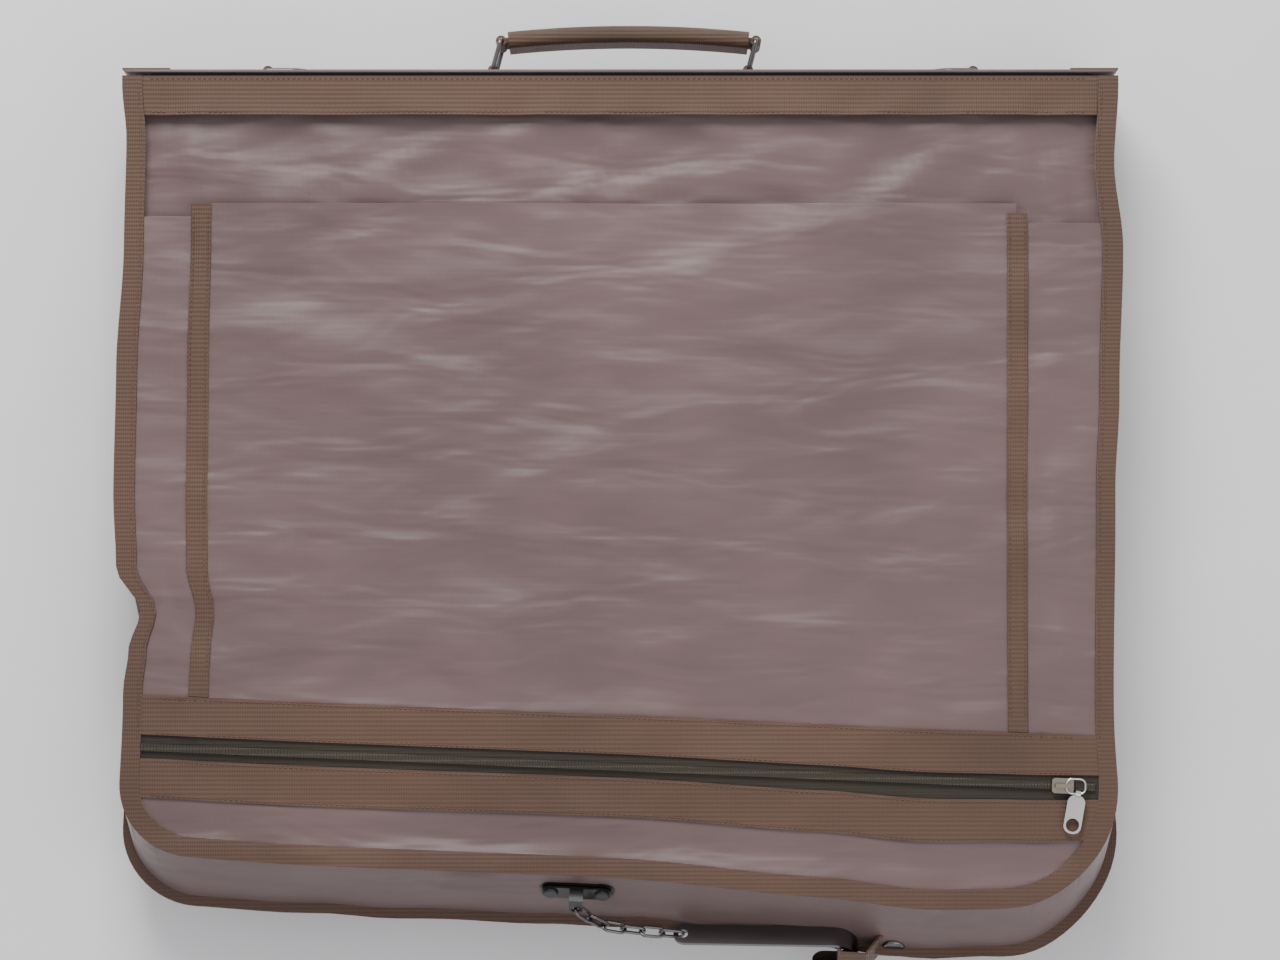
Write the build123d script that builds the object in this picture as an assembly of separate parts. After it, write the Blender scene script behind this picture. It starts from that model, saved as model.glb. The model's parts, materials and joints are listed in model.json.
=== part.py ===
"""Bi-fold soft garment bag, folded shut and lying on its back.

Frame: +X across the bag, +Y from the open ends towards the carrying handle,
+Z up.  The origin is the middle of the flat underside.  Millimetres.

Two shallow trays of nylon cloth (hanger half on top, hem half underneath) are
joined by a stiffened spine that carries the handle and two strap rings.  The
trays are open towards the spine so that a suit can pass round the fold.
"""
from build123d import *
import math
import os

os.makedirs("parts", exist_ok=True)

# ---------------------------------------------------------------- dimensions
HALF_W = 303.0        # half the width of the bag over its bindings
Y_SPINE = 258.0       # outer face of the spine
CLOTH = 1.2           # lined, coated nylon cloth
TAPE_W = 12.0         # half of the 25 mm binding tape, folded over an edge
BAND_W = 24.0         # 1 inch webbing as laid
END_TILT = math.tan(math.radians(3.0))   # the free end lies slightly askew
ZIP_TILT = 2.4        # degrees, the pocket zip lies slightly askew too

ZIP_Y = -165.5        # the pocket zip where it crosses X = 0

END_OUT = -234.0      # free end of the outer face, at X = 0
END_IN = -258.5       # free end of the inner face, at X = 0
R_LEFT = 46.0         # rounded corners at the free end
R_RIGHT = 74.0

HEM_Z0, HEM_Z1 = 0.0, 40.5        # hem half, lying on the floor
HAN_Z0, HAN_Z1 = 41.5, 82.0       # hanger half, on top
MID_Z = 41.0                      # middle of the spine

HANDLE_X = 78.5       # handle rings' inner bars, either side of the middle
RING_BAR_Y = 262.3    # inner bar of a handle ring
RING_LONG = 19.0      # between the two bars of a handle ring
RING_TILT = 15.0      # degrees the rings lean to the right as the bag lies
RING_R = 1.4          # wire radius
RING_HALF_IN = 16.0   # half the clear width inside a handle ring
WEB_HALF = 12.5       # half of 25 mm webbing

DRING_X = 217.0       # D-ring bars
DRING_Y = 261.6
DRING_R = 1.7
DRING_LONG = 28.0
DRING_HALF = 14.9     # half width between the wire centres of the D


def save(shape, name):
    if isinstance(shape, (list, tuple, ShapeList)):
        shape = Compound(children=[s for s in shape])
    export_step(shape, f"parts/{name}.step")
    return shape


def box(x0, x1, y0, y1, z0, z1):
    return Pos((x0 + x1) / 2, (y0 + y1) / 2, (z0 + z1) / 2) * Box(
        abs(x1 - x0), abs(y1 - y0), abs(z1 - z0)
    )


def outline(w, y_top, y_end, inset=0.0):
    """The plan of a tray: square at the spine, rounded at the free end."""
    w2 = w - inset
    ye = y_end + inset * math.hypot(1, END_TILT)
    pts = [
        (-w2, y_top),
        (w2, y_top),
        (w2, ye - END_TILT * w2),
        (-w2, ye + END_TILT * w2),
    ]
    face = make_face(Polyline(*pts, close=True))
    right = face.vertices().sort_by_distance(Vertex(pts[2][0], pts[2][1], 0))[0]
    face = fillet(right, R_RIGHT - inset)
    left = face.vertices().sort_by_distance(Vertex(pts[3][0], pts[3][1], 0))[0]
    return fillet(left, R_LEFT - inset)


def plate(w, y_top, y_end, z0, z1, inset=0.0):
    return extrude(Pos(0, 0, z0) * outline(w, y_top, y_end, inset), z1 - z0)


def wall(w_a, end_a, z_a, w_b, end_b, z_b, y_top, t=CLOTH):
    """A gusset strip standing between two plans, open towards the spine."""
    outer = loft(
        [
            Pos(0, 0, z_a) * outline(w_a, y_top, end_a),
            Pos(0, 0, z_b) * outline(w_b, y_top, end_b),
        ],
        ruled=True,
    )
    inner = loft(
        [
            Pos(0, 0, z_a) * outline(w_a, y_top + 30, end_a, t),
            Pos(0, 0, z_b) * outline(w_b, y_top + 30, end_b, t),
        ],
        ruled=True,
    )
    return outer - inner


def ring_tape(w, y_top, y_end, z0, z1, width=TAPE_W):
    """Binding tape round three sides of an edge."""
    return plate(w, y_top, y_end, z0, z1) - plate(
        w, y_top + 30, y_end, z0 - 1, z1 + 1, width
    )


def wire_loop(points, radius, wire_r, plane_dir_z=None):
    """A closed loop of round wire through the corner points, rounded."""
    path = FilletPolyline(*points, radius=radius, close=True)
    start = path @ 0.0
    tangent = path % 0.0
    prof = Plane(origin=start, z_dir=tangent) * Circle(wire_r)
    return sweep(prof, path=path)


# ------------------------------------------------------------------ hem half
y_tray = Y_SPINE - 3.8                     # both trays stop short of the spine
save(
    plate(HALF_W, 232.0, END_OUT + 3, HEM_Z0, HEM_Z0 + CLOTH, TAPE_W),
    "hem_outer_panel",
)
save(
    box(-HALF_W + TAPE_W, HALF_W - TAPE_W, 232.0, y_tray, HEM_Z0, HEM_Z0 + 1.5),
    "hem_spine_band",
)
save(
    ring_tape(HALF_W, y_tray, END_OUT + 3, HEM_Z0, HEM_Z0 + 3.0),
    "hem_outer_binding",
)
save(
    wall(HALF_W, END_OUT + 3, HEM_Z0 + 3.0, HALF_W - 3, END_IN + 4, HEM_Z1 - 2.0, y_tray),
    "hem_gusset",
)
save(
    ring_tape(HALF_W - 3, y_tray, END_IN + 4, HEM_Z1 - 2.0, HEM_Z1),
    "hem_inner_binding",
)
HEM_IN_Z = 34.5                             # inner cloth, sagging inside its binding
in_w = HALF_W - 5.0
hem_inner = plate(in_w, 250.0, END_IN + 10, HEM_IN_Z, HEM_IN_Z + CLOTH)
save(hem_inner & box(-400, -7.0, -400, 400, 0, 100), "hem_inner_panel_left")
save(hem_inner & box(7.0, 400, -400, 400, 0, 100), "hem_inner_panel_right")
# main zip, hem part: two tapes side by side and the coil standing on them
zip_a = box(-7.0, 7.0, -236.0, 250.0, HEM_IN_Z, HEM_IN_Z + 0.9)
coil_a = box(-2.3, 2.3, -232.0, 246.0, HEM_IN_Z + 0.9, HEM_IN_Z + 2.9)
save(zip_a + coil_a, "main_zip_hem")

# main zip slider and its pull, lying in the gap between the halves
sl_y, sl_z = -214.0, HEM_IN_Z + 0.9
body = extrude(Pos(0, sl_y, sl_z + 0.15) * RectangleRounded(10.0, 14.0, 2.0), 3.55)
body -= box(-2.7, 2.7, sl_y - 8.0, sl_y + 8.0, sl_z - 1.0, sl_z + 2.5)
bridge = box(-1.2, 1.2, sl_y - 4.5, sl_y + 4.5, sl_z + 3.7, sl_z + 6.0)
bridge -= box(-2.0, 2.0, sl_y - 3.0, sl_y + 3.0, sl_z + 3.6, sl_z + 5.2)
save(body + bridge, "main_zip_slider")
pull = extrude(
    Pos(0, sl_y + 13.0, sl_z + 3.85) * RectangleRounded(8.0, 26.0, 3.0), 1.2
)
pull -= box(-2.2, 2.2, sl_y + 2.2 - 1.0, sl_y + 6.8, sl_z, sl_z + 9)
pull -= Pos(0, sl_y + 20.5, sl_z + 4) * Cylinder(2.2, 8)
save(pull, "main_zip_pull")

# --------------------------------------------------------------- hanger half
save(
    wall(HALF_W - 3, END_IN, HAN_Z0 + 2.0, HALF_W, END_OUT, HAN_Z1 - 3.0, y_tray),
    "hanger_gusset",
)
save(ring_tape(HALF_W - 3, y_tray, END_IN, HAN_Z0, HAN_Z0 + 2.0), "hanger_inner_binding")
save(ring_tape(HALF_W, y_tray, END_OUT, HAN_Z1 - 3.0, HAN_Z1), "hanger_outer_binding")
HAN_IN_Z = 45.5
han_inner = plate(in_w - 0.5, 250.0, END_IN + 5, HAN_IN_Z, HAN_IN_Z + CLOTH)
save(han_inner & box(-400, -7.0, -400, 400, 0, 100), "hanger_inner_panel_left")
save(han_inner & box(7.0, 400, -400, 400, 0, 100), "hanger_inner_panel_right")
zip_b = box(-7.0, 7.0, -244.0, 250.0, HAN_IN_Z + 0.3, HAN_IN_Z + 1.2)
coil_b = box(-2.3, 2.3, -240.0, 246.0, HAN_IN_Z - 1.7, HAN_IN_Z + 0.3)
save(zip_b + coil_b, "main_zip_hanger")

FRONT_Z = 72.5                              # cloth behind the pockets
save(
    plate(HALF_W - 2.4, y_tray, END_OUT + 1.6, FRONT_Z, FRONT_Z + CLOTH),
    "front_panel",
)
TOP_Z = 79.3                                # outer layer of cloth
save(
    box(-HALF_W + TAPE_W, HALF_W - TAPE_W, 230.0, y_tray, HAN_Z1 - 2.6, HAN_Z1 - 1.0),
    "spine_band_front",
)

inner_w = HALF_W - TAPE_W                   # inside the binding
TAPE_L, TAPE_R = -255.0, 240.6              # pocket edge tapes
MOUTH = 176.0


def tilted(shape):
    return Pos(0, ZIP_Y, 0) * Rot(0, 0, -ZIP_TILT) * shape


def under(y_rel):
    """Everything on the free-end side of a tilted line."""
    return tilted(box(-500, 500, y_rel - 400, y_rel, 0, 120))


def above(y_rel):
    return tilted(box(-500, 500, y_rel, y_rel + 900, 0, 120))


cell = plate(HALF_W, 400.0, END_OUT, 0, 120, TAPE_W)       # inside the binding
pocket = box(TAPE_L, TAPE_R, -300, MOUTH, TOP_Z, TOP_Z + CLOTH) & above(13.0)
save(pocket, "pocket_panel")
save(
    (box(-inner_w, TAPE_L, -300, 168.0, TOP_Z, TOP_Z + CLOTH) & above(13.0)) & cell,
    "pocket_gusset_left",
)
save(
    (box(TAPE_R, inner_w, -300, 164.0, TOP_Z, TOP_Z + CLOTH) & above(13.0)) & cell,
    "pocket_gusset_right",
)
z_tape = TOP_Z + CLOTH
save(
    box(TAPE_L - 6.3, TAPE_L + 6.3, -300, MOUTH, z_tape, z_tape + 1.3) & above(31.4),
    "pocket_edge_tape_left",
)
save(
    box(TAPE_R - 6.3, TAPE_R + 6.3, -300, MOUTH - 6, z_tape, z_tape + 1.3) & above(31.4),
    "pocket_edge_tape_right",
)
bands = box(-inner_w, inner_w, -300, 100, z_tape, z_tape + 1.3) & cell
upper = bands & above(7.2) & under(7.2 + BAND_W)
# the seam that closes the foot of the open-topped pocket
rib = (box(-inner_w + 1, inner_w - 1, -300, 100, FRONT_Z + CLOTH, TOP_Z) & cell) & above(
    13.2
) & under(15.2)
save(upper, "zip_band_upper")
save(rib, "pocket_foot_seam")
save(bands & above(-7.2 - BAND_W) & under(-7.2), "zip_band_lower")
tape = (box(-inner_w, inner_w, -300, 100, TOP_Z, TOP_Z + 1.0) & cell) & above(-13.0) & under(13.0)
save(tape, "pocket_zip_tape")
coil = (box(-inner_w + 3, inner_w - 6, -300, 100, TOP_Z + 1.0, TOP_Z + 3.0) & cell) & above(
    -2.2
) & under(2.2)
save(coil, "pocket_zip_coil")
save(
    (box(-inner_w, inner_w, -320, 100, TOP_Z, TOP_Z + CLOTH) & cell) & under(-13.0),
    "zip_pocket_panel",
)

# pocket zip slider: an inverted channel straddling the coil, with a bridge
SL_X, SL_Z = 266.0, TOP_Z + 1.0
sl = extrude(Pos(SL_X, 0, SL_Z + 0.2) * RectangleRounded(13.0, 9.2, 2.0), 3.4)
sl -= box(SL_X - 8, SL_X + 8, -2.5, 2.5, SL_Z - 1, SL_Z + 2.35)
br = box(SL_X - 4.6, SL_X + 4.6, -1.2, 1.2, SL_Z + 3.6, SL_Z + 6.4)
br -= box(SL_X - 3.2, SL_X + 3.2, -2, 2, SL_Z + 3.5, SL_Z + 5.4)
save(tilted(sl + br), "zip_slider")
# wire ring through the bridge, lying to the right; and the flat pull tab
ring_z = SL_Z + 4.5
ring_pts = [
    (SL_X + 2.0, -4.4, ring_z),
    (SL_X + 13.4, -4.4, ring_z),
    (SL_X + 13.4, 4.4, ring_z),
    (SL_X + 2.0, 4.4, ring_z),
]
RINGW = 0.65
ring = wire_loop(ring_pts, 3.4, RINGW)
# the ring's inner bar stays straight under the bridge
save(tilted(ring), "zip_pull_ring")
TAB_ANG = -98.0                 # direction the tab hangs in
tab_root = (SL_X + 9.0, -4.4)


def tab_place(shape):
    return tilted(Pos(tab_root[0], tab_root[1], ring_z) * Rot(0, 0, TAB_ANG) * shape)


tab = extrude(Pos(12.6, 0, -0.8) * RectangleRounded(23.2, 10.6, 4.6), 1.6)
tab -= Pos(19.0, 0, 0) * Cylinder(4.0, 6)
eye = Rot(90, 0, 0) * (Cylinder(2.25, 3.0) - Cylinder(1.2, 6))
tab = (tab - Rot(90, 0, 0) * Cylinder(1.2, 16)) + eye
save(tab_place(tab), "zip_pull_tab")

# ----------------------------------------------------- fittings on the end
# The end wall of the hanger half leans out towards the floor.  (e1, s, n) run
# along it, up it and out of it.
hyp = math.hypot(1, END_TILT)
E1 = Vector(1 / hyp, -END_TILT / hyp, 0)
rise = (HAN_Z1 - 3.0) - (HAN_Z0 + 2.0)
run = (END_OUT - END_IN) / hyp
S = (Vector(END_TILT / hyp, 1 / hyp, 0) * run + Vector(0, 0, rise)).normalized()
N = E1.cross(S) * 1.0
if N.Y > 0:
    N = N * -1.0
WALL_O = Vector(0, (END_OUT + END_IN) / 2, ((HAN_Z1 - 3.0) + (HAN_Z0 + 2.0)) / 2)


def on_wall(e1, s, n):
    return WALL_O + E1 * e1 + S * s + N * n


def wall_plane(e1, s, n, turn=0.0):
    """Local x along the wall (turned in its own plane), z out of it."""
    x = E1 * math.cos(math.radians(turn)) + S * math.sin(math.radians(turn))
    return Plane(origin=on_wall(e1, s, n), x_dir=x, z_dir=N)


# hook, chain and bracket share the level n = N_C off the wall
N_C = 9.0
LINK_L, LINK_R, WIRE = 14.2, 3.2, 1.0       # centre line of a link, wire radius
NEST = 2.4                                  # between the wires of two links
HOOK_C = (131.0, -27.3)                     # middle of the hook's bend (e1, s)
HOOK_R = 14.0
HOOK_TURN = 4.0                             # degrees the shank rises to the right
SHANK = 91.0                                # bend to hole
STRIP_T, STRIP_W = 2.2, 13.6
DIRS = [-47.0, -40.0, -13.0, -7.0, -4.0, -3.0]   # of the six links, from bracket

ct, st = math.cos(math.radians(HOOK_TURN)), math.sin(math.radians(HOOK_TURN))
hole = (
    HOOK_C[0] - SHANK * ct - HOOK_R * st,
    HOOK_C[1] - SHANK * st + HOOK_R * ct,
)


def unit(deg):
    return math.cos(math.radians(deg)), math.sin(math.radians(deg))


# walk the chain back from the hook to the bracket
near, far = [None] * 6, [None] * 6
nxt, nxt_dir = hole, DIRS[5]
for k in range(5, -1, -1):
    u = unit((DIRS[k] + nxt_dir) / 2)
    lap = 0.0 if k == 5 else NEST           # the last link's end is in the hook's hole
    far[k] = (nxt[0] + lap * u[0], nxt[1] + lap * u[1])
    d = unit(DIRS[k])
    near[k] = (far[k][0] - LINK_L * d[0], far[k][1] - LINK_L * d[1])
    nxt, nxt_dir = near[k], DIRS[k]
B_E1, B_S = near[0][0], near[0][1] + 5.0
print("bracket at", B_E1, B_S)

wp = wall_plane(B_E1, B_S, 0.15)
T0 = N_C - 0.15 - 0.8
bracket = extrude(SlotOverall(42, 11), 1.4)
for x in (-15.5, 15.5):
    bracket -= Pos(x, 0, 0) * Cylinder(1.65, 10)
bracket += box(-4.1, 4.1, 1.5, 4.6, 1.2, T0 + 1.6)
bracket += Pos(0, 0, T0) * extrude(
    Pos(0, -0.2) * Rectangle(8.2, 9.6) + Pos(0, -5.0) * Circle(4.1), 1.6
)
bracket -= Pos(0, -5.0, T0) * Cylinder(2.6, 6)
save(wp * bracket, "hook_bracket")
rivets = []
for x in (-15.5, 15.5):
    head = Pos(x, 0, 1.4) * extrude(Circle(4.6), 1.6)
    head = fillet(head.edges().group_by(Axis.Z)[-1], 1.2)
    rivets.append(
        wp
        * (
            head
            + Pos(x, 0, -3.0) * extrude(Circle(1.6), 4.4)
            + Pos(x, 0, -3.8) * extrude(Circle(3.6), 1.0)
        )
    )
save(rivets, "bracket_rivets")
back = Pos(0, 0, -2.8) * extrude(SlotOverall(46, 14), 1.5)
for x in (-15.5, 15.5):
    back -= Pos(x, 0, -2) * Cylinder(1.65, 10)
save(wp * back, "bracket_backing_plate")
gus = wall(HALF_W - 3, END_IN, HAN_Z0 + 2.0, HALF_W, END_OUT, HAN_Z1 - 3.0, y_tray)
for x in (-15.5, 15.5):
    gus -= wp * (Pos(x, 0, -2) * Cylinder(1.7, 12))
save(gus, "hanger_gusset")
# wire bail inside, where the coat hangers' hooks are gathered
bail_path = FilletPolyline((-9, 0, -2.8), (-9, 0, -22), (9, 0, -22), (9, 0, -2.8), radius=5)
bail = sweep(Plane(origin=bail_path @ 0, z_dir=bail_path % 0) * Circle(1.4), path=bail_path)
save(wp * bail, "hanger_bail")


def link_solid():
    """A closed oval link lying in local XY, its near end at the origin."""
    path = (Pos(LINK_L / 2, 0) * SlotOverall(LINK_L, 2 * LINK_R)).wire()
    return sweep(Plane(origin=path @ 0, z_dir=path % 0) * Circle(WIRE), path=path)


for k in range(6):
    x_dir = E1 * unit(DIRS[k])[0] + S * unit(DIRS[k])[1]
    upright = k % 2 == 0                    # these stand on edge off the wall
    z_dir = x_dir.cross(N) if upright else N
    pl = Plane(origin=on_wall(near[k][0], near[k][1], N_C), x_dir=x_dir, z_dir=z_dir)
    save(pl * link_solid(), f"chain_link_{k + 1}")
    print("link", k + 1, tuple(on_wall(near[k][0], near[k][1], N_C)))

# hook: bent steel strip, its broad faces looking up and down the wall
hp = wall_plane(HOOK_C[0], HOOK_C[1], N_C - STRIP_W / 2, HOOK_TURN)
a, b = HOOK_R + STRIP_T / 2, HOOK_R - STRIP_T / 2
shank = extrude(
    make_face(Polyline((-SHANK - 6, a), (0, a), (0, b), (-SHANK - 6, b), close=True)), STRIP_W
)
bend = extrude(
    (Circle(a) - Circle(b)) & Pos(25, 0) * Rectangle(50, 100), STRIP_W
)
RET = 13.0
ret = extrude(
    make_face(Polyline((-RET, -a), (0, -a), (0, -b), (-RET, -b), close=True)), STRIP_W
)
hook = shank + bend + ret
# rounded ends: cut the strip's corners in plan
for x_end, y_mid in ((-SHANK - 6, HOOK_R), (-RET, -HOOK_R)):
    cutter = box(x_end - 1, x_end + STRIP_W / 2, y_mid - 4, y_mid + 4, -1, STRIP_W + 1)
    cutter -= Pos(x_end + STRIP_W / 2, y_mid, STRIP_W / 2) * Rot(90, 0, 0) * Cylinder(
        STRIP_W / 2, 12
    )
    hook -= cutter
hook -= Pos(-SHANK, HOOK_R, STRIP_W / 2) * Rot(90, 0, 0) * Cylinder(2.9, 10)
# rounded bead rolled on the tip
tip = Pos(-RET + 1.6, -a - 1.2, STRIP_W / 2) * Cylinder(1.5, 9.0)
save(hp * (hook + tip), "hook")

# keeper: a webbing loop snapped shut round the hook's bend
KW = 11.5                                   # half its width
KE = HOOK_C[0]
kp = wall_plane(KE, HOOK_C[1], 0.15)        # x along wall, y up it, z out
save(kp * box(1.6, 46.0, -KW, KW + 13.0, 0, 1.5), "keeper_base")
top = 2 * N_C - 7.2                         # clear of the strip's outer edge
top = N_C + STRIP_W / 2 + 1.7 - 0.15
prof = Polyline(
    (3.0, 1.9),
    (3.0, top + 1.2),
    (19.5, top + 1.2),
    (28.2, 4.5),
    (45.0, 4.5),
    (45.0, 3.3),
    (27.4, 3.3),
    (18.7, top),
    (4.2, top),
    (4.2, 1.9),
    close=True,
)
flap = extrude(Plane.XZ * make_face(prof), KW, both=True)
flap -= Pos(36.5, 0, 4) * Cylinder(1.5, 6)
save(kp * flap, "keeper_flap")
cap = Pos(36.5, 0, 4.5) * extrude(Circle(7.2), 2.4)
cap = fillet(cap.edges().group_by(Axis.Z)[-1], 1.6)
cap += Pos(36.5, 0, 3.4) * extrude(Circle(1.45), 1.4)
save(kp * cap, "snap_cap")
stud = Pos(36.5, 0, 1.5) * extrude(Circle(4.6), 0.8) + Pos(36.5, 0, 1.5) * extrude(Circle(2.2), 1.5)
save(kp * stud, "snap_stud")

# --------------------------------------------------------------------- spine
save(box(-HALF_W + 1, HALF_W - 1, Y_SPINE - 1.4, Y_SPINE, 0.8, 81.2), "spine_panel")
save(box(-285, 285, Y_SPINE - 3.0, Y_SPINE - 1.4, 5.0, 77.0), "spine_board")
for side, name in ((-1, "left"), (1, "right")):
    cap_box = box(side * (HALF_W - 29), side * HALF_W, Y_SPINE, Y_SPINE + 0.9, 0.8, 81.2)
    save(cap_box, f"spine_corner_{name}")


def tab(x_far, x_bar, y_bar, r_in, r_out, cut_dir):
    """Webbing sewn flat to the spine, its end looped round an upright bar."""
    plate_ = box(x_far, x_bar, Y_SPINE, Y_SPINE + 1.6, MID_Z - WEB_HALF, MID_Z + WEB_HALF)
    loop = Pos(x_bar, y_bar, MID_Z) * Cylinder(r_out, 2 * WEB_HALF)
    hole_ = Pos(x_bar, y_bar, MID_Z) * Cylinder(r_in, 60)
    ramp = box(x_bar, x_bar - cut_dir * 7.0, Y_SPINE, y_bar, MID_Z - WEB_HALF, MID_Z + WEB_HALF)
    return (plate_ + loop + ramp) - hole_


WIRE_IN = RING_R + 0.35
save(tab(-135.0, -HANDLE_X, RING_BAR_Y, WIRE_IN, WIRE_IN + 1.5, 1), "handle_tab_left")
save(tab(135.0, HANDLE_X, RING_BAR_Y, WIRE_IN, WIRE_IN + 1.5, -1), "handle_tab_right")
D_IN = DRING_R + 0.35
save(tab(-DRING_X - 56, -DRING_X, DRING_Y, D_IN, D_IN + 1.4, 1), "dring_tab_left")
save(tab(DRING_X + 56, DRING_X, DRING_Y, D_IN, D_IN + 1.4, -1), "dring_tab_right")

tx, ty = math.sin(math.radians(RING_TILT)), math.cos(math.radians(RING_TILT))
for x0, name in ((-HANDLE_X, "left"), (HANDLE_X, "right")):
    zc = RING_HALF_IN + RING_R
    c0 = Vector(x0, RING_BAR_Y, MID_Z)
    c1 = Vector(x0 + RING_LONG * tx, RING_BAR_Y + RING_LONG * ty, MID_Z)
    pts = [
        (c0.X, c0.Y, MID_Z - zc),
        (c1.X, c1.Y, MID_Z - zc),
        (c1.X, c1.Y, MID_Z + zc),
        (c0.X, c0.Y, MID_Z + zc),
    ]
    save(wire_loop(pts, 2.6, RING_R), f"handle_ring_{name}")

OUT_Y = RING_BAR_Y + RING_LONG * ty
BAR_L, BAR_R = -HANDLE_X + RING_LONG * tx, HANDLE_X + RING_LONG * tx
XM = (BAR_L + BAR_R) / 2
# padded grip, bowed outwards
gx = HANDLE_X - 4.5
arc = ThreePointArc((XM - gx, OUT_Y + 0.6, MID_Z), (XM, OUT_Y + 4.4, MID_Z), (XM + gx, OUT_Y + 0.6, MID_Z))
arc_in = ThreePointArc((XM - gx + 14, OUT_Y + 1.84, MID_Z), (XM, OUT_Y + 4.4, MID_Z), (XM + gx - 14, OUT_Y + 1.84, MID_Z))


def grip(path, thick, wide, rad):
    prof_ = Plane(origin=path @ 0, z_dir=path % 0, x_dir=(0, 0, 1)) * RectangleRounded(
        wide, thick, rad
    )
    return sweep(prof_, path=path)


cover = grip(arc, 10.4, 30.0, 4.4) - grip(arc, 7.6, 27.2, 3.2)
save(cover, "handle_cover")
core = grip(arc_in, 7.4, 27.0, 3.1)
save(core, "handle_core")
# webbing that loops the rings and runs into the ends of the grip
loops = []
for xb, sgn in ((BAR_L, 1), (BAR_R, -1)):
    tube = Pos(xb, OUT_Y, MID_Z) * Cylinder(WIRE_IN + 1.5, 2 * WEB_HALF)
    tail = box(xb, xb + sgn * 16.0, OUT_Y - 1.0, OUT_Y + 1.9, MID_Z - WEB_HALF, MID_Z + WEB_HALF)
    loops.append((tube + tail) - Pos(xb, OUT_Y, MID_Z) * Cylinder(WIRE_IN, 60))
save(loops, "handle_webbing")

for side, name in ((1, "right"),):
    xb = side * DRING_X
    xt = side * (DRING_X - DRING_LONG)
    zc = DRING_HALF
    line_a = Line((xb, DRING_Y, MID_Z + zc), (xb, DRING_Y, MID_Z - zc))
    s1 = Line((xb, DRING_Y, MID_Z - zc), (xb - side * 12.0, DRING_Y, MID_Z - zc))
    bow = ThreePointArc(
        (xb - side * 12.0, DRING_Y, MID_Z - zc),
        (xt, DRING_Y, MID_Z),
        (xb - side * 12.0, DRING_Y, MID_Z + zc),
    )
    s2 = Line((xb - side * 12.0, DRING_Y, MID_Z + zc), (xb, DRING_Y, MID_Z + zc))
    ring_ = sweep(Plane(origin=bow @ 0, z_dir=bow % 0) * Circle(DRING_R), path=bow)
    for ln in (line_a, s1, s2):
        ring_ += sweep(Plane(origin=ln @ 0, z_dir=ln % 0) * Circle(DRING_R), path=ln)
    for zz in (MID_Z - zc, MID_Z + zc):
        ring_ += Pos(xb, DRING_Y, zz) * Sphere(DRING_R)
        ring_ += Pos(xb - side * 12.0, DRING_Y, zz) * Sphere(DRING_R)
    save(ring_, "d_ring_right")
    save(ring_.mirror(Plane.YZ), "d_ring_left")
for lab, v in (
    ("hook hole", on_wall(hole[0], hole[1], N_C)),
    ("keeper hinge", on_wall(KE + 3.6, HOOK_C[1], 2.05)),
    ("bend centre", on_wall(HOOK_C[0], HOOK_C[1], N_C)),
    ("ring outer left", Vector(BAR_L, OUT_Y, MID_Z)),
    ("ring outer right", Vector(BAR_R, OUT_Y, MID_Z)),
):
    print(lab, round(v.X, 4), round(v.Y, 4), round(v.Z, 4))
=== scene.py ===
import bpy, bmesh, math, json
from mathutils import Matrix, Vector, noise


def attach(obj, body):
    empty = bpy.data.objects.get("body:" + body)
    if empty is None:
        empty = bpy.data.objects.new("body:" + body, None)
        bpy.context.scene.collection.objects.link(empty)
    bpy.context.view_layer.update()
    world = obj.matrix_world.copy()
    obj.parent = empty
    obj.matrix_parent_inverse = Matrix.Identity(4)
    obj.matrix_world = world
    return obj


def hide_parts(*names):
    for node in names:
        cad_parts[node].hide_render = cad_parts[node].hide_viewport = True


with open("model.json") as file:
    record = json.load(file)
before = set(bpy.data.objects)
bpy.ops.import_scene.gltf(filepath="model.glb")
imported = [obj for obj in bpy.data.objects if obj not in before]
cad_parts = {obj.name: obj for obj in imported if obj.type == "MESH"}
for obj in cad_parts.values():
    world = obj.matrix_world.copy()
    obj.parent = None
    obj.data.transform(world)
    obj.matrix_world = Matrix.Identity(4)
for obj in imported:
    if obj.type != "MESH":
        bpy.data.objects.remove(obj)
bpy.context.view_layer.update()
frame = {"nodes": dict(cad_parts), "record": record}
nodes = frame["nodes"]
record = frame["record"]
SLOT = {s["node"]: s["material_slot"] for s in record["subparts"]}
BODY = {n: b for b, ns in record["behaviour"]["bodies"].items() for n in ns}

# camera: almost straight above, +Y up the picture
cam = bpy.data.objects.new("view_camera", bpy.data.cameras.new("view_camera"))
bpy.context.scene.collection.objects.link(cam)
target = Vector((0.012, 0.009, 0.06))
cam.location = target + Vector((0.0, -2.4 * math.sin(math.radians(4)), 2.4 * math.cos(math.radians(4))))
cam.rotation_euler = (math.radians(4), 0, 0)
cam.data.sensor_width = 36
cam.data.lens = 36 * 2.4 / 0.780
bpy.context.scene.camera = cam


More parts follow.
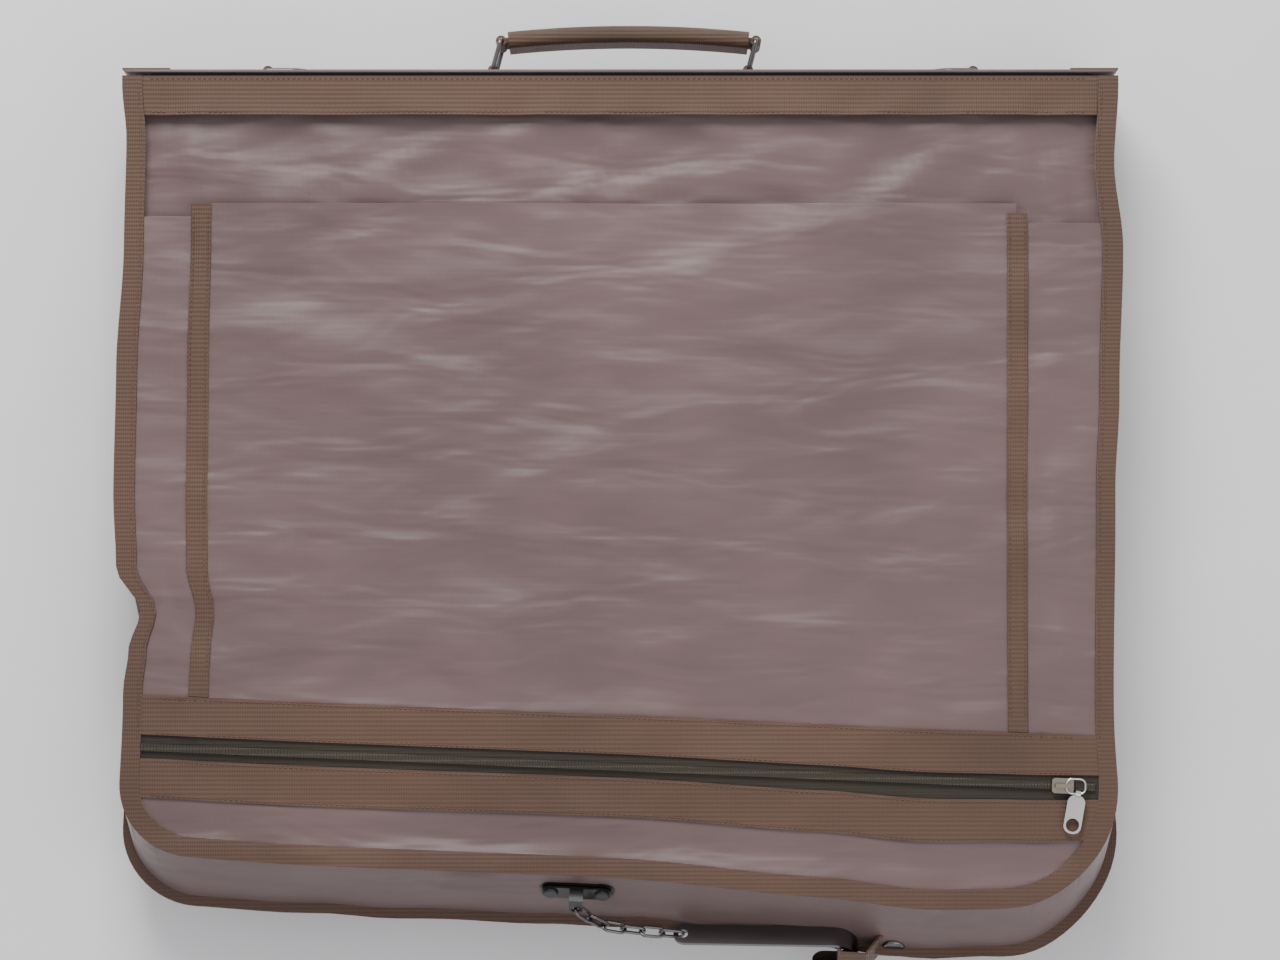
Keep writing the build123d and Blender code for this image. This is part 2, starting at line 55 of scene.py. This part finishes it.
def mat(name, rgb, rough, metal=0.0, sheen=0.0, kind="plain", bump=0.2, spec=0.5, scale=900.0, vary=0.25):
    m = bpy.data.materials.new(name)
    m.use_nodes = True
    nt = m.node_tree
    b = nt.nodes["Principled BSDF"]
    b.inputs["Metallic"].default_value = metal
    b.inputs["Roughness"].default_value = rough
    b.inputs["Sheen Weight"].default_value = sheen
    b.inputs["Sheen Roughness"].default_value = 0.35
    b.inputs["Sheen Tint"].default_value = (1.0, 0.9, 0.9, 1)
    b.inputs["Specular IOR Level"].default_value = spec
    tc = nt.nodes.new("ShaderNodeTexCoord")
    big = nt.nodes.new("ShaderNodeTexNoise")
    big.inputs["Scale"].default_value = 9.0
    big.inputs["Detail"].default_value = 5.0
    nt.links.new(tc.outputs["Object"], big.inputs["Vector"])
    ramp = nt.nodes.new("ShaderNodeValToRGB")
    e = ramp.color_ramp.elements
    e[0].position, e[1].position = 0.3, 0.7
    e[0].color = (*[c * (1 - vary) for c in rgb], 1)
    e[1].color = (*[min(1, c * (1 + vary)) for c in rgb], 1)
    nt.links.new(big.outputs["Fac"], ramp.inputs["Fac"])
    nt.links.new(ramp.outputs["Color"], b.inputs["Base Color"])
    bp = nt.nodes.new("ShaderNodeBump")
    bp.inputs["Strength"].default_value = bump
    bp.inputs["Distance"].default_value = 0.0004
    if kind in ("weave", "rib"):
        sx = nt.nodes.new("ShaderNodeTexWave")
        sx.wave_type = "BANDS"
        sx.bands_direction = "X"
        sx.inputs["Scale"].default_value = scale
        sy = nt.nodes.new("ShaderNodeTexWave")
        sy.wave_type = "BANDS"
        sy.bands_direction = "Y"
        sy.inputs["Scale"].default_value = scale * (1.0 if kind == "weave" else 0.55)
        for w in (sx, sy):
            w.inputs["Distortion"].default_value = 0.3
            nt.links.new(tc.outputs["Object"], w.inputs["Vector"])
        add = nt.nodes.new("ShaderNodeMath")
        add.operation = "ADD"
        nt.links.new(sx.outputs["Fac"], add.inputs[0])
        nt.links.new(sy.outputs["Fac"], add.inputs[1])
        nt.links.new(add.outputs[0], bp.inputs["Height"])
    else:
        fine = nt.nodes.new("ShaderNodeTexNoise")
        fine.inputs["Scale"].default_value = 300.0
        nt.links.new(tc.outputs["Object"], fine.inputs["Vector"])
        nt.links.new(fine.outputs["Fac"], bp.inputs["Height"])
    if kind == "weave":
        crease = nt.nodes.new("ShaderNodeTexNoise")
        crease.inputs["Scale"].default_value = 26.0
        crease.inputs["Detail"].default_value = 2.0
        crease.inputs["Distortion"].default_value = 0.35
        mp = nt.nodes.new("ShaderNodeMapping")
        mp.inputs["Scale"].default_value = (0.45, 1.7, 1.0)
        mp.inputs["Rotation"].default_value = (0, 0, 0.25)
        nt.links.new(tc.outputs["Object"], mp.inputs["Vector"])
        nt.links.new(mp.outputs["Vector"], crease.inputs["Vector"])
        b2 = nt.nodes.new("ShaderNodeBump")
        b2.inputs["Strength"].default_value = 0.55
        b2.inputs["Distance"].default_value = 0.006
        nt.links.new(crease.outputs["Fac"], b2.inputs["Height"])
        nt.links.new(b2.outputs["Normal"], bp.inputs["Normal"])
    nt.links.new(bp.outputs["Normal"], b.inputs["Normal"])
    return m


M = {
    "shell_cloth": mat("nylon", (0.140, 0.088, 0.084), 0.42, sheen=0.35, kind="weave", bump=0.15, scale=420, vary=0.12),
    "lining_cloth": mat("lining", (0.02, 0.016, 0.016), 0.7, kind="weave", bump=0.1, scale=400),
    "webbing": mat("webbing", (0.098, 0.050, 0.030), 0.62, sheen=0.25, kind="rib", bump=0.5, scale=210, vary=0.15),
    "binding": mat("binding", (0.095, 0.048, 0.029), 0.62, sheen=0.25, kind="rib", bump=0.5, scale=230, vary=0.15),
    "zip_cloth": mat("zip_cloth", (0.03, 0.022, 0.014), 0.75, kind="rib", bump=0.3, scale=300),
    "zip_coil": mat("zip_coil", (0.035, 0.026, 0.014), 0.35, kind="rib", bump=1.0, scale=160),
    "handle_cloth": mat("handle_cloth", (0.085, 0.048, 0.026), 0.6, sheen=0.3, kind="rib", bump=0.5, scale=240),
    "foam": mat("foam", (0.03, 0.03, 0.03), 0.9),
    "board": mat("board", (0.02, 0.02, 0.02), 0.6),
    "gunmetal": mat("gunmetal", (0.16, 0.15, 0.15), 0.22, metal=1.0, bump=0.05),
    "nickel": mat("nickel", (0.75, 0.72, 0.68), 0.2, metal=1.0, bump=0.05),
    "antique_metal": mat("antique_metal", (0.3, 0.26, 0.2), 0.38, metal=1.0, bump=0.15),
    "black_metal": mat("black_metal", (0.012, 0.012, 0.012), 0.3, bump=0.08),
}


def sm(a, b, v):
    t = max(0.0, min(1.0, (v - a) / (b - a)))
    return t * t * (3 - 2 * t)


def curve(table, v):
    if v <= table[0][0]:
        return table[0][1]
    for (a, fa), (b, fb) in zip(table, table[1:]):
        if v <= b:
            t = (v - a) / (b - a)
            t = t * t * (3 - 2 * t)
            return fa + (fb - fa) * t
    return table[-1][1]


# how far each side edge strays from the straight pattern, in millimetres, along Y
LEFT = [(-240, 0), (-120, 4), (-95, 7), (-72, 14), (-45, -1), (0, -3), (75, -2), (150, 2), (215, 3), (250, 0)]
RIGHT = [(-240, 0), (-130, -6), (0, -4), (60, -1), (150, 2), (200, -3), (250, 0)]
ENDY = [(-300, 2), (-200, 0), (0, 2), (120, -3), (180, -7), (240, -4), (300, 0)]
SPIN = [(-300, -3), (0, 2), (300, -4)]


def warp(co, top):
    x, y, z = co.x * 1000, co.y * 1000, co.z * 1000
    up = sm(30, 76, z)
    side = LEFT if x < 0 else RIGHT
    dx = curve(side, y) * min(1.0, abs(x) / 300) ** 7
    dy = curve(ENDY, x) * sm(-120, -235, y) if y < 0 else 0.0
    dz = 0.0
    if up > 0 and top:
        edge = min(sm(291, 262, abs(x)), sm(248, 226, y) if y > 0 else sm(-236, -212, y))
        n1 = noise.noise(Vector((x / 95, y / 55, 3.1)))
        n2 = noise.noise(Vector((x / 38 + y / 90, y / 22, 9.7)))
        n3 = 1 - abs(noise.noise(Vector((x / 60 + 4, y / 26 - x / 120, 17.0)))) * 2
        upper = sm(170, 190, y)
        dz = edge * (2.6 * n1 + 1.5 * n2 + (1.0 + 2.6 * upper) * n3 - 1.2)
        if y < -195:
            dz -= 3.0 * math.exp(-((y + 212 + x * 0.03) / 7.0) ** 2) * edge
        calm = math.exp(-(((y + 165.5 + x * 0.042) / 16.0) ** 2))
        dz *= 1 - 0.9 * calm
        if abs(x) > 255 and y > -150:
            dz += 2.4 * noise.noise(Vector((x / 9, y / 60, 1.0))) * edge
        dz = min(dz, 4.5)
    if not top and 4 < z < 79:
        dy += 1.8 * noise.noise(Vector((x / 40, z / 14, 5.0))) * sm(0, 12, z)
    return Vector((co.x + dx / 1000, co.y + dy / 1000, co.z + dz * up / 1000))


TOP = {"front_panel", "pocket_panel", "pocket_gusset_left", "pocket_gusset_right", "pocket_edge_tape_left",
       "pocket_edge_tape_right", "pocket_foot_seam", "zip_band_upper", "zip_band_lower", "pocket_zip_tape",
       "zip_pocket_panel", "spine_band_front", "hanger_outer_binding"}
SIDE = {"hanger_gusset", "hanger_inner_binding", "hem_gusset", "hem_inner_binding", "hem_outer_binding", "hem_outer_panel",
        "hem_inner_panel_left", "hem_inner_panel_right", "hanger_inner_panel_left", "hanger_inner_panel_right"}


def slices(bm, lo, hi, step, axis):
    n = int((hi - lo) / step)
    for i in range(1, n + 1):
        co = [0, 0, 0]
        co[axis] = lo + i * (hi - lo) / (n + 1)
        no = [0, 0, 0]
        no[axis] = 1
        bmesh.ops.bisect_plane(bm, geom=bm.verts[:] + bm.edges[:] + bm.faces[:], plane_co=co, plane_no=no, dist=1e-7)


for name, node in list(nodes.items()):
    material = M[SLOT[name]]
    if name not in TOP and name not in SIDE:
        node.data.materials.clear()
        node.data.materials.append(material)
        continue
    me = node.data.copy()
    me.name = name + "_soft"
    bm = bmesh.new()
    bm.from_mesh(me)
    bmesh.ops.remove_doubles(bm, verts=bm.verts[:], dist=1e-6)
    bmesh.ops.dissolve_limit(bm, angle_limit=0.01, verts=bm.verts[:], edges=bm.edges[:])
    flat_area = sum(f.calc_area() for f in bm.faces if f.normal.z > 0.9)
    xs = [v.co.x for v in bm.verts]
    ys = [v.co.y for v in bm.verts]
    step = 0.007 if name in TOP else 0.014
    slices(bm, min(xs), max(xs), step, 0)
    slices(bm, min(ys), max(ys), step, 1)
    for v in bm.verts:
        if name in ("hanger_inner_binding", "hem_inner_binding"):
            # the middle bindings stand proud of the walls
            v.co.x *= 1.014
            if v.co.y < 0:
                v.co.y *= 1.024
        v.co = warp(v.co, name in TOP)
    bm.to_mesh(me)
    bm.free()
    me.materials.clear()
    me.materials.append(material)
    me.shade_smooth()
    me.set_sharp_from_angle(angle=0.7)
    o = bpy.data.objects.new(name + "_soft", me)
    bpy.context.scene.collection.objects.link(o)
    bev = o.modifiers.new("soft_edge", "BEVEL")
    bev.width = 0.0004
    bev.segments = 2
    bev.limit_method = "ANGLE"
    bev.angle_limit = 0.8
    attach(o, BODY[name])
    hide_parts(name)

# stitching: one slim strip of thread dashes along bands and tapes
thread = mat("thread", (0.13, 0.07, 0.045), 0.7, bump=0.1)


def dashes(name, a, b, top_z, body, pitch=3.2, gap=1.0, r=0.32):
    """A row of thread stitches from a to b, millimetres, following the cloth."""
    bm = bmesh.new()
    a, b = Vector((a[0], a[1], top_z)), Vector((b[0], b[1], top_z))
    d = (b - a)
    n = max(1, int(d.length / pitch))
    u = d.normalized()
    s = Vector((-u.y, u.x, 0))
    for i in range(n):
        p0 = a + u * (i * pitch)
        ring = []
        for t, h, w in ((0, -0.15, 0.5), (0.2, 0.25, 1.0), (0.8, 0.25, 1.0), (1.0, -0.15, 0.5)):
            c = p0 + u * ((pitch - gap) * t)
            c = warp(c / 1000, True) * 1000
            ring.append([bm.verts.new((c + s * (r * w * math.cos(k)) + Vector((0, 0, h + r * 0.6 * math.sin(k)))) / 1000) for k in (0.0, 1.57, 3.14, 4.71)])
        for q in range(3):
            for k in range(4):
                bm.faces.new((ring[q][k], ring[q][(k + 1) % 4], ring[q + 1][(k + 1) % 4], ring[q + 1][k]))
        bm.faces.new(list(reversed(ring[0])))
        bm.faces.new(ring[3])
    bmesh.ops.recalc_face_normals(bm, faces=bm.faces[:])
    me = bpy.data.meshes.new(name)
    bm.to_mesh(me)
    bm.free()
    me.materials.append(thread)
    o = bpy.data.objects.new(name, me)
    bpy.context.scene.collection.objects.link(o)
    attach(o, body)
    return o


zt = math.radians(2.4)


def tl(x, y):
    return (x * math.cos(zt) + y * math.sin(zt), -165.5 - x * math.sin(zt) + y * math.cos(zt))


for k, y in enumerate((8.6, 29.6, -8.6, -29.6)):
    dashes("stitch_band_%d" % k, tl(-282, y), tl(276, y), 81.9, "hanger_half")
for k, x in enumerate((-259.6, -250.6, 236.0, 245.2)):
    dashes("stitch_tape_%d" % k, (x, 169), (x, -112 if x < 0 else -138), 81.9, "hanger_half")
for k, y in enumerate((232.0, 252.5)):
    dashes("stitch_spine_%d" % k, (-286, y), (286, y), 81.1, "hanger_half")
for k, x in enumerate((-293.0, 293.0)):
    dashes("stitch_side_%d" % k, (x, 248), (x, -150), 82.1, "hanger_half")

# floor and light
bpy.ops.mesh.primitive_plane_add(size=6, location=(0, 0, -0.0005))
floor = bpy.context.object
floor.name = "floor"
floor.data.materials.append(mat("floor_cloth", (0.86, 0.855, 0.85), 0.85, bump=0.2, vary=0.02))


def lamp(name, loc, size, power, look=(0, 0, 0.05)):
    l = bpy.data.lights.new(name, "AREA")
    l.energy, l.size = power, size
    o = bpy.data.objects.new(name, l)
    o.location = loc
    o.rotation_euler = (Vector(look) - Vector(loc)).to_track_quat("-Z", "Y").to_euler()
    bpy.context.scene.collection.objects.link(o)


lamp("key", (-0.3, 1.6, 1.5), 1.0, 48)
lamp("fill", (0.9, -1.2, 2.0), 2.0, 14)
world = bpy.data.worlds.new("world")
bpy.context.scene.world = world
world.use_nodes = True
world.node_tree.nodes["Background"].inputs["Color"].default_value = (0.93, 0.94, 1.0, 1)
world.node_tree.nodes["Background"].inputs["Strength"].default_value = 0.68
